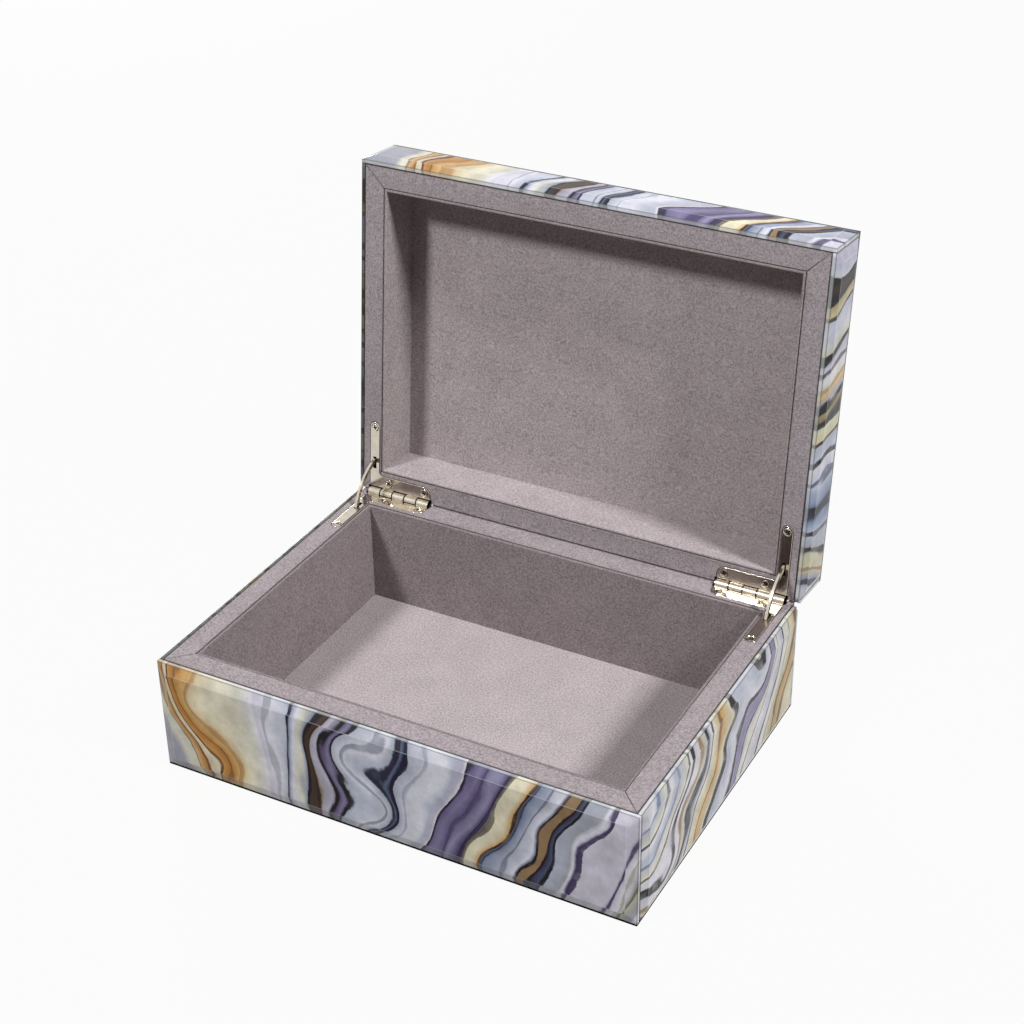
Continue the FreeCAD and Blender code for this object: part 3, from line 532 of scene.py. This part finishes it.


# The left and top panels take the dark land, painted shade on their edges; the others keep the pale land
frontGlass = printedGlass("printed_glass_front", frontPrint, "clearLand")
topGlass = printedGlass("printed_glass_top_shaded_land", frontPrint, "shadedLand")
rightGlass = printedGlass("printed_glass_right", sidePrint, "clearLand")
leftGlass = printedGlass("printed_glass_left_shaded_land", sidePrint, "shadedLand")
lidRightGlass = printedGlass("printed_glass_lid_right", lidSidePrint, "clearLand")
lidLeftGlass = printedGlass("printed_glass_lid_left_shaded_land", lidSidePrint, "shadedLand")
for node, facing, lay, material in (
    ("base_front_glass", "front", frontLay, frontGlass),
    ("lid_front_glass", "front", lidFrontLay, frontGlass),
    ("base_back_glass", "back", backLay, frontGlass),
    ("lid_back_glass", "back", backLay, frontGlass),
    ("base_right_glass", "right", rightLay, rightGlass),
    ("base_left_glass", "left", leftLay, leftGlass),
    ("lid_right_glass", "right", rightLidLay, lidRightGlass),
    ("lid_left_glass", "left", leftLidLay, lidLeftGlass),
    ("lid_top_glass", "top", topLay, topGlass),
):
    bevelledPanel(node, facing, lay, material)
print("nine glass panels cut and printed")


# Suede: brushed nap with a fine speckle and soft mottling
# The well tone is painted shade on the base liners, and the shelf tone painted light on the lid's back liner
suede = dict(
    rim="#a79da1", liner="#a49a9b", shadedWell="#928789", litShelf="#b9aeb1", floor="#bdb2b5", recess="#b2a7a9",
    seamShadow="#2e282a", seamShadowShare=0.6, contrast=0.36,
    speckleScale=1100, speckleSpan=(0.28, 0.72), mottleScale=60, mottleSpan=(0.3, 0.7), mottleShare=0.18,
    sheen=0.03, sheenRoughness=0.45, shine=0.03, roughness=0.95, relief=0.25, reliefDepth=0.0002,
)


def napGroup():
    # The tone times 1 + contrast (speckle + a share of mottle), with the speckle as relief
    inputs = [("Tone", "Color"), ("Contrast", "Float")]
    tree, given, result = newGroup("suedeNap", inputs, [("Color", "Color"), ("Height", "Float")])
    place = objectPlace(tree)
    speckle = noise(tree, place, suede["speckleScale"], detail=2.0, roughness=0.6)
    speckle = spread(tree, speckle, *suede["speckleSpan"], -1.0, 1.0)
    mottle = noise(tree, place, suede["mottleScale"], detail=3.0, roughness=0.6)
    mottle = spread(tree, mottle, *suede["mottleSpan"], -1.0, 1.0)
    both = maths(tree, "MULTIPLY_ADD", mottle, suede["mottleShare"], speckle)
    factor = maths(tree, "MULTIPLY_ADD", both, given["Contrast"], 1.0)
    tree.links.new(mixed(tree, 1.0, given["Tone"], factor, "MULTIPLY"), result["Color"])
    tree.links.new(speckle, result["Height"])
    return tree


suedeNap = napGroup()


def suedeFinish(name, tone):
    # Nap of one tone, with painted shadow darkening the seams
    material, tree, shader = newMaterial(name, {
        "Roughness": suede["roughness"], "Specular IOR Level": suede["shine"],
        "Sheen Weight": suede["sheen"], "Sheen Roughness": suede["sheenRoughness"],
    })
    nap = useGroup(tree, suedeNap, {"Tone": linearColour(tone), "Contrast": suede["contrast"]})
    # Painted shadow along the strips' edges and mitres and round the floor and the recess
    inSeamShadow = maths(tree, "MULTIPLY", ownField(tree, "seamShadow"), suede["seamShadowShare"])
    colour = mixed(tree, inSeamShadow, nap["Color"], linearColour(suede["seamShadow"]))
    tree.links.new(colour, shader.inputs["Base Color"])
    addRelief(tree, shader, nap["Height"], suede["relief"], suede["reliefDepth"])
    return material


suedes = {}
for part in ("rim", "liner", "shadedWell", "litShelf", "floor", "recess"):
    suedes[part] = suedeFinish(f"suede_{part}", suede[part])


# How close points merge, in metres, and what counts as flat, facing the eye and large enough
flatFace = dict(merge=1e-6, bend=0.01, facing=0.99, area=mm * mm)


def shownFaces(node, up):
    # Outlines of the CAD node's flat faces that look up (1) or down (-1) when closed, largest first,
    # anticlockwise to the eye: its triangles are merged, joined where they are flat, and picked by normal
    work = bmesh.new()
    work.from_mesh(frame["nodes"][node].data)
    bmesh.ops.remove_doubles(work, verts=work.verts, dist=flatFace["merge"])
    bmesh.ops.dissolve_limit(work, angle_limit=flatFace["bend"], verts=work.verts, edges=work.edges)
    work.normal_update()
    turn = openTurn if bodyOf[node] == "lid" else 0.0
    looking = Vector((0, up * math.sin(turn), up * math.cos(turn)))
    shown = [face for face in work.faces if face.normal.dot(looking) > flatFace["facing"]]
    shown = [face for face in shown if face.calc_area() > flatFace["area"]]
    shown.sort(key=lambda face: -face.calc_area())
    outlines = [np.array([vertex.co for vertex in face.verts]) / mm for face in shown]
    work.free()
    return [swing(points, -turn) for points in outlines]


def joinedShells(shells):
    # Several (points, faces, values at the points) shells as one
    starts = np.cumsum([0] + [len(shell[0]) for shell in shells])
    faces = []
    for start, shell in zip(starts, shells):
        faces += [[int(start) + corner for corner in face] for face in shell[1]]
    points, values = (np.concatenate([shell[part] for shell in shells]) for part in (0, 2))
    return points, faces, values


def drawnIn(outline, insets):
    # The outline moved inwards by each inset, mitred at its corners: one ring per inset
    run = np.roll(outline, -1, 0) - outline
    run = run / np.linalg.norm(run, axis=1, keepdims=True)
    inward = np.column_stack([-run[:, 1], run[:, 0]])
    before = np.roll(inward, 1, 0)
    mitre = (before + inward) / (1 + (before * inward).sum(1, keepdims=True))
    return outline[None] + np.asarray(insets)[:, None, None] * mitre[None]


def softPlate(outline, up, foot, thick, profile):
    # A soft sheet: the outline carried up a rounded edge, then closed by its two faces
    flat = outline[:, :2] * (1, up)
    inset, rise, shade = np.array(profile).T
    rings = drawnIn(flat, inset)
    height = foot + up * rise[:, None] * thick * np.ones(len(flat))
    points = np.concatenate([rings * (1, up), height[..., None]], -1).reshape(-1, 3)
    return points, cappedRings(len(inset), len(flat)), np.repeat(shade, len(flat))


# Rounded edge of a soft sheet as (inset in millimetres, share of the thickness, painted shadow of the seam)
softEdge = (
    (0.12, 0.0, 1.0), (0.08, 0.15, 1.0), (0.06, 0.45, 1.0), (0.1, 0.72, 0.9), (0.18, 0.9, 0.55),
    (0.3, 0.98, 0.2), (0.48, 1.0, 0.0),
)
strip = dict(thick=0.6, cornerSide=3.0, lipStart=0.3, lipLap=0.9, lipRound=0.25, lipOverhang=0.5)


def scaledEdge(share):
    # The soft edge with its insets made smaller
    return [(share * inset, rise, shade) for inset, rise, shade in softEdge]


def onLip(outline, wallFace):
    # Which corners of a strip reach out behind the back wall
    return outline[:, 1] > wallFace + strip["lipStart"]


def turnedDown(node, up, outline, wallFace):
    # The strip's lip, turned down over the wall's back edge beyond the hinge grooves
    low, high = closedBox(node)
    foot = low[2] if up > 0 else high[2]
    thick = (high[2] - low[2]) - strip["thick"] * strip["lipLap"]
    lipEnds = np.unique(outline[onLip(outline, wallFace), 0].round(3))
    flat = [(lipEnds[0], wallFace), (lipEnds[-1], wallFace), (lipEnds[-1], high[1]), (lipEnds[0], high[1])]
    corners = np.array([(x, y, foot) for x, y in (flat if up > 0 else flat[::-1])])
    return softPlate(corners, up, foot, thick, scaledEdge(strip["lipRound"]))


for owner, up in (("base", 1), ("lid", -1)):
    wallFace = closedBox(f"{owner}_back_wall")[1][1]
    for side in ("front", "back", "left", "right"):
        node = f"{owner}_{side}_rim_strip"
        shells = []
        for outline in shownFaces(node, up):
            if owner == "base":
                outline[onLip(outline, wallFace), 1] += strip["lipOverhang"]
            across = np.ptp(outline[:, :2], axis=0).min()
            edge = scaledEdge(min(1.0, across / (2 * strip["cornerSide"])))
            foot = outline[0, 2] - up * strip["thick"]
            shells.append(softPlate(outline, up, foot, strip["thick"], edge))
            if side == "back" and onLip(outline, wallFace).any():
                shells.append(turnedDown(node, up, outline, wallFace))
        points, faces, shade = joinedShells(shells)
        name = f"{owner}_{side}_suede_strip"
        addPiece(name, node, points, faces, suedes["rim"], {"seamShadow": shade})
print("rim strips laid")

linerEdge = dict(innerRound=0.6, outerRound=0.3, arcSteps=6, lengthSteps=41, sharpAngle=40)


def linerBoard(node, side, up, material):
    # A profile across the board's thickness, carried between its two mitred ends
    low, high = closedBox(node)
    alongX = side in ("front", "back")
    axis = 1 if alongX else 0
    sign = -1 if side in ("front", "left") else 1
    outer = high[axis] if sign > 0 else -low[axis]
    inner = low[axis] if sign > 0 else -high[axis]
    foot, head = (low[2], high[2]) if up > 0 else (high[2], low[2])
    reach = (high - low)[1 - axis] / 2
    arc = np.linspace(0, math.pi / 2, linerEdge["arcSteps"])
    r = linerEdge["outerRound"]
    outerArc = np.column_stack([outer - r + r * np.cos(arc), head - up * r * (1 - np.sin(arc))])
    r = linerEdge["innerRound"]
    innerArc = np.column_stack([inner + r - r * np.sin(arc), head - up * r * (1 - np.cos(arc))])
    profile = np.concatenate([[(outer, foot)], outerArc, innerArc, [(inner, foot)]])
    steps = np.linspace(-1, 1, linerEdge["lengthSteps"])
    depth, height = profile.T
    run = steps[:, None] * (reach - (outer - depth))[None]
    away = sign * depth * np.ones_like(run)
    flat = np.stack([run, away] if alongX else [away, run], -1)
    points = np.concatenate([flat, (height * np.ones_like(run))[..., None]], -1).reshape(-1, 3)
    faces = cappedRings(len(steps), len(profile))
    if (sign * up > 0) != alongX:
        faces = [face[::-1] for face in faces]
    piece = addPiece(node.replace("liner", "suede_liner"), node, points, faces, material)
    piece.data.set_sharp_from_angle(angle=math.radians(linerEdge["sharpAngle"]))


for owner, up in (("base", 1), ("lid", -1)):
    for side in ("front", "back", "left", "right"):
        # The lid's back liner is paler, painted light together with its nap's direction, and the base liners
        # darker as painted shade
        nap = "shadedWell" if owner == "base" else "litShelf" if side == "back" else "liner"
        linerBoard(f"{owner}_{side}_liner", side, up, suedes[nap])
for node, name, up, part in (
    ("base_floor_lining", "base_suede_floor", 1, "floor"),
    ("lid_recess_lining", "lid_suede_recess", -1, "recess"),
):
    outline = shownFaces(node, up)[0]
    low, high = closedBox(node)
    points, faces, shade = softPlate(outline, up, low[2] if up > 0 else high[2], high[2] - low[2], softEdge)
    addPiece(name, node, points, faces, suedes[part], {"seamShadow": shade})
print("liners, floor and recess lined")

# Black felt under the base
felt = dict(
    tone="#0d0c0d", roughness=1.0, shine=0.05, fibreScale=900, fibreSpan=(0.3, 0.7), fibreShade=(0.5, 1.5),
    relief=0.4, reliefDepth=0.0003,
)


def feltFinish():
    # Matted fibres, paler and darker
    constants = {"Roughness": felt["roughness"], "Specular IOR Level": felt["shine"]}
    material, tree, shader = newMaterial("black_felt", constants)
    fibres = noise(tree, objectPlace(tree), felt["fibreScale"], detail=4.0, roughness=0.7)
    fibres = spread(tree, fibres, *felt["fibreSpan"], *felt["fibreShade"])
    colour = mixed(tree, 1.0, linearColour(felt["tone"]), fibres, "MULTIPLY")
    tree.links.new(colour, shader.inputs["Base Color"])
    addRelief(tree, shader, fibres, felt["relief"], felt["reliefDepth"])
    return material


low, high = closedBox("base_underside_felt")
outline = shownFaces("base_underside_felt", 1)[0]
points, faces = softPlate(outline, 1, low[2], high[2] - low[2], softEdge)[:2]
addPiece("base_black_felt", "base_underside_felt", points, faces, feltFinish())
print("felt laid")

# Polished nickel on the hinges, with handling marks; barrel and gap sizes in millimetres
nickel = dict(
    tone="#d4cbbd", dark="#c6bdaf", paintedShade="#231f1b", roughness=0.1, roughnessChange=0.03,
    smudgeScale=260, lineScale=420, lineStretch=(1, 12, 12), markSpan=(0.35, 0.65),
    barrelRadius=2.4, barrelMargin=0.05, barrelFade=(0.3, 0.1), gapHalf=0.42, gapFade=0.12,
)


def knuckleGaps(tree):
    # 1 where painted shade darkens the joints between the knuckles: nearest gap along x, inside the barrel's
    # radius
    points = meshPoints("right_hinge_base_leaf")
    radius = np.hypot(points[:, 1] - axisY, points[:, 2] - axisZ)
    barrel = nickel["barrelRadius"] + nickel["barrelMargin"]
    ends = np.unique(np.round(points[radius < barrel, 0], 2))
    pitch = (ends[2] - ends[0]) / 2
    first = ends[0] - (pitch - (ends[1] - ends[0])) / 2
    axes = put(tree, "ShaderNodeSeparateXYZ", {0: put(tree, "ShaderNodeTexCoord").outputs["Object"]}).outputs
    along = maths(tree, "MULTIPLY_ADD", maths(tree, "ABSOLUTE", axes[0]), 1 / mm, -first)
    fromGap = maths(tree, "PINGPONG", along, pitch / 2)
    aside = maths(tree, "SUBTRACT", axes[1], axisY * mm)
    fromAxis = lengthOf(tree, aside, maths(tree, "SUBTRACT", axes[2], axisZ * mm))
    inBarrel = spread(tree, fromAxis, *((barrel + past) * mm for past in nickel["barrelFade"]))
    inGap = spread(tree, fromGap, nickel["gapHalf"], nickel["gapHalf"] - nickel["gapFade"])
    return maths(tree, "MULTIPLY", inGap, inBarrel)


def nickelFinish():
    # Smudges and polishing lines in tone and roughness, painted shade in the knuckle joints and the screws
    material, tree, shader = newMaterial("polished_nickel", {"Metallic": 1.0})
    smudge = noise(tree, objectPlace(tree), nickel["smudgeScale"], detail=4.0, roughness=0.6)
    smudge = spread(tree, smudge, *nickel["markSpan"])
    stretched = objectPlace(tree, nickel["lineStretch"])
    lines = noise(tree, stretched, nickel["lineScale"], detail=3.0, roughness=0.6)
    lines = spread(tree, lines, *nickel["markSpan"])
    colour = mixed(tree, smudge, linearColour(nickel["dark"]), linearColour(nickel["tone"]))
    # Painted shade in the knuckle joints, the screws' cross recesses and round their heads
    inShade = maths(tree, "MAXIMUM", ownField(tree, "paintedShade"), knuckleGaps(tree))
    colour = mixed(tree, inShade, colour, linearColour(nickel["paintedShade"]))
    tree.links.new(colour, shader.inputs["Base Color"])
    marks = maths(tree, "ADD", smudge, lines)
    rough = maths(tree, "MULTIPLY_ADD", marks, nickel["roughnessChange"], nickel["roughness"])
    tree.links.new(rough, shader.inputs["Roughness"])
    return material


# Fibreboard of the core
board = dict(
    tone="#6d5943", dark="#4c3c2c", roughness=0.85, chipScale=1400, chipSpan=(0.3, 0.7), relief=0.2,
    reliefDepth=0.0002,
)


def boardFinish():
    # Pressed fibres between two tones
    material, tree, shader = newMaterial("fibreboard", {"Roughness": board["roughness"]})
    chips = noise(tree, objectPlace(tree), board["chipScale"], detail=3.0, roughness=0.7)
    chips = spread(tree, chips, *board["chipSpan"])
    colour = mixed(tree, chips, linearColour(board["dark"]), linearColour(board["tone"]))
    tree.links.new(colour, shader.inputs["Base Color"])
    addRelief(tree, shader, chips, board["relief"], board["reliefDepth"])
    return material


polishedNickel, fibreboard = nickelFinish(), boardFinish()

# Countersunk screws: domed heads with a cross recess, a hair smaller than their seats
screw = dict(
    headRadius=1.92, shankRadius=1.0, headDepth=1.15, dome=0.14, edgeRound=0.3, edgeDrop=0.5, middle=0.02,
    crossReach=1.3, crossHalf=0.34, crossDepth=0.8, crossSlope=0.12, crossShade=0.85, rimShade=0.12,
    turns=(0.3, 1.0, 0.65), apart=1.0, spokes=96, headRings=44, sharpAngle=35,
)


def screwShell(centre, head, foot, up, turn):
    # Turned profile: height = dome (1 - (r/R)^2) over the head, less its rounded edge and the cross,
    # then a cone and the shank
    angle = np.linspace(0, 2 * math.pi, screw["spokes"], endpoint=False)
    outer = screw["headRadius"]
    across = np.linspace(screw["middle"], outer, screw["headRings"])
    radius = np.concatenate([across, [screw["shankRadius"]] * 2])
    depth = abs(head - foot)
    fall = np.clip((radius - outer + screw["edgeRound"]) / screw["edgeRound"], 0, 1) ** 2
    height = screw["dome"] * (1 - (radius / outer) ** 2) - screw["edgeDrop"] * screw["edgeRound"] * fall
    height[-2:] = -screw["headDepth"], -depth
    along, aside = (np.abs(radius[:, None] * wave(angle + turn)[None]) for wave in (np.cos, np.sin))

    def bar(run, wide):
        # 1 inside a bar of the cross, sloping to 0 at its walls
        within = np.minimum(screw["crossReach"] - run, screw["crossHalf"] - wide)
        return np.clip(within / screw["crossSlope"], 0, 1)

    cross = np.maximum(bar(along, aside), bar(aside, along))
    heights = height[:, None] - screw["crossDepth"] * cross
    x = centre[0] + radius[:, None] * np.cos(angle)
    y = centre[1] + radius[:, None] * np.sin(angle)
    points = np.stack([x, y, head + up * heights], -1).reshape(-1, 3)
    faces = cappedRings(len(radius), screw["spokes"])
    if up > 0:
        faces = [face[::-1] for face in faces]
    # Painted shade round the head's rim, as in the cross recess
    rim = (radius > outer - screw["rimShade"])[:, None] * np.ones(screw["spokes"])
    return points, faces, np.maximum(screw["crossShade"] * cross, rim).ravel()


def screwCentres(node):
    # Middle of each screw of a group: their spans along x don't meet
    points = closedPoints(node)
    points = points[np.argsort(points[:, 0])]
    groups = np.split(points, np.flatnonzero(np.diff(points[:, 0]) > screw["apart"]) + 1)
    return [(group.min(0) + group.max(0)) / 2 for group in groups]


for side in ("left", "right"):
    for owner, up in (("base", 1), ("lid", -1)):
        node = f"{side}_{owner}_leaf_screws"
        low, high = closedBox(node)
        head, foot = (high[2], low[2]) if up > 0 else (low[2], high[2])
        placed = zip(screwCentres(node), screw["turns"])
        shells = [screwShell(centre, head, foot, up, turn) for centre, turn in placed]
        points, faces, paintedShade = joinedShells(shells)
        name = f"{side}_{owner}_leaf_cross_screws"
        piece = addPiece(name, node, points, faces, polishedNickel, {"paintedShade": paintedShade})
        piece.data.set_sharp_from_angle(angle=math.radians(screw["sharpAngle"]))
print("screws driven")

for name, item in frame["nodes"].items():
    if item.hide_render:
        continue
    metal = "hinge" in name or "screws" in name or "stay" in name
    item.data.materials.clear()
    item.data.materials.append(polishedNickel if metal else fibreboard)
print("hinges and core finished")

# Studio: a floor that looks near white, white surround, soft lamps from the right, the front and behind
studio = dict(
    floorHalf=12.0, floorDrop=0.0002, floorTone="#7c7b79", floorRoughness=0.9, floorGlow=0.88,
    glowStrength=1.07, surround=0.02,
    lamps=(
        dict(name="right_lamp", azimuth=84, elevation=43.5, distance=2.0, size=0.3, watts=31.0),
        dict(name="front_lamp", azimuth=-29, elevation=46, distance=2.0, size=0.28, watts=24.0),
        dict(name="back_lamp", azimuth=225, elevation=14, distance=2.0, size=0.5, watts=14.0),
    ),
    aim=(0.0, 0.02, 0.09),
)
view = dict(
    azimuth=28.671, elevation=30.986, roll=-0.885, distance=0.926526, target=(0, 0.029386, 0.106911),
    lens=71.116, sensor=36.0,
)


def backward(azimuth, elevation):
    # Unit vector from the box towards a lamp or the camera, azimuth from the front to the right
    a, e = math.radians(azimuth), math.radians(elevation)
    return Vector((math.sin(a) * math.cos(e), -math.cos(a) * math.cos(e), math.sin(e)))


def seenDirectly(tree):
    # 1 for camera, mirror and glass rays, 0 for the light that reaches the object
    path = put(tree, "ShaderNodeLightPath").outputs
    direct = maths(tree, "MAXIMUM", path["Is Camera Ray"], path["Is Glossy Ray"])
    return maths(tree, "MAXIMUM", direct, path["Is Transmission Ray"])


def addFloor():
    # A flat floor, grey to the light that it throws back and near white to the eye
    half, low = studio["floorHalf"], -studio["floorDrop"]
    mesh = bpy.data.meshes.new("floor")
    corners = [(-half, -half, low), (half, -half, low), (half, half, low), (-half, half, low)]
    mesh.from_pydata(corners, [], [(0, 1, 2, 3)])
    floor = bpy.data.objects.new("floor", mesh)
    bpy.context.scene.collection.objects.link(floor)
    constants = {"Base Color": linearColour(studio["floorTone"]), "Roughness": studio["floorRoughness"]}
    material, tree, shader = newMaterial("pale_floor", constants)
    white = {"Color": (1, 1, 1, 1), "Strength": studio["glowStrength"]}
    glow = put(tree, "ShaderNodeEmission", white).outputs[0]
    share = maths(tree, "MULTIPLY", seenDirectly(tree), studio["floorGlow"])
    joined = put(tree, "ShaderNodeMixShader", {0: share, 1: shader.outputs[0], 2: glow}).outputs[0]
    tree.links.new(joined, tree.nodes["Material Output"].inputs["Surface"])
    mesh.materials.append(material)


def addSurround():
    world = bpy.data.worlds.new("white_surround")
    bpy.context.scene.world = world
    world.use_nodes = True
    tree = world.node_tree
    strength = spread(tree, seenDirectly(tree), 0.0, 1.0, studio["surround"], 1.0)
    tree.links.new(strength, tree.nodes["Background"].inputs["Strength"])
    tree.nodes["Background"].inputs["Color"].default_value = (1, 1, 1, 1)


def addLamps():
    aim = Vector(studio["aim"])
    for lamp in studio["lamps"]:
        light = bpy.data.lights.new(lamp["name"], "AREA")
        light.shape = "SQUARE"
        light.size = lamp["size"]
        light.energy = lamp["watts"]
        holder = bpy.data.objects.new(lamp["name"], light)
        away = backward(lamp["azimuth"], lamp["elevation"])
        holder.location = aim + away * lamp["distance"]
        holder.rotation_euler = (-away).to_track_quat("-Z", "Y").to_euler()
        bpy.context.scene.collection.objects.link(holder)


def addCamera():
    camera = bpy.data.cameras.new("camera")
    camera.lens, camera.sensor_width = view["lens"], view["sensor"]
    holder = bpy.data.objects.new("camera", camera)
    away = backward(view["azimuth"], view["elevation"])
    right = Vector((0, 0, 1)).cross(away).normalized()
    over = away.cross(right)
    c, s = math.cos(math.radians(view["roll"])), math.sin(math.radians(view["roll"]))
    turned = Matrix((c * right + s * over, c * over - s * right, away)).transposed()
    place = Vector(view["target"]) + away * view["distance"]
    holder.matrix_world = Matrix.Translation(place) @ turned.to_4x4()
    bpy.context.scene.collection.objects.link(holder)
    bpy.context.scene.camera = holder


addFloor()
addSurround()
addLamps()
addCamera()
bpy.context.scene.view_settings.view_transform = "Standard"
print("studio set")
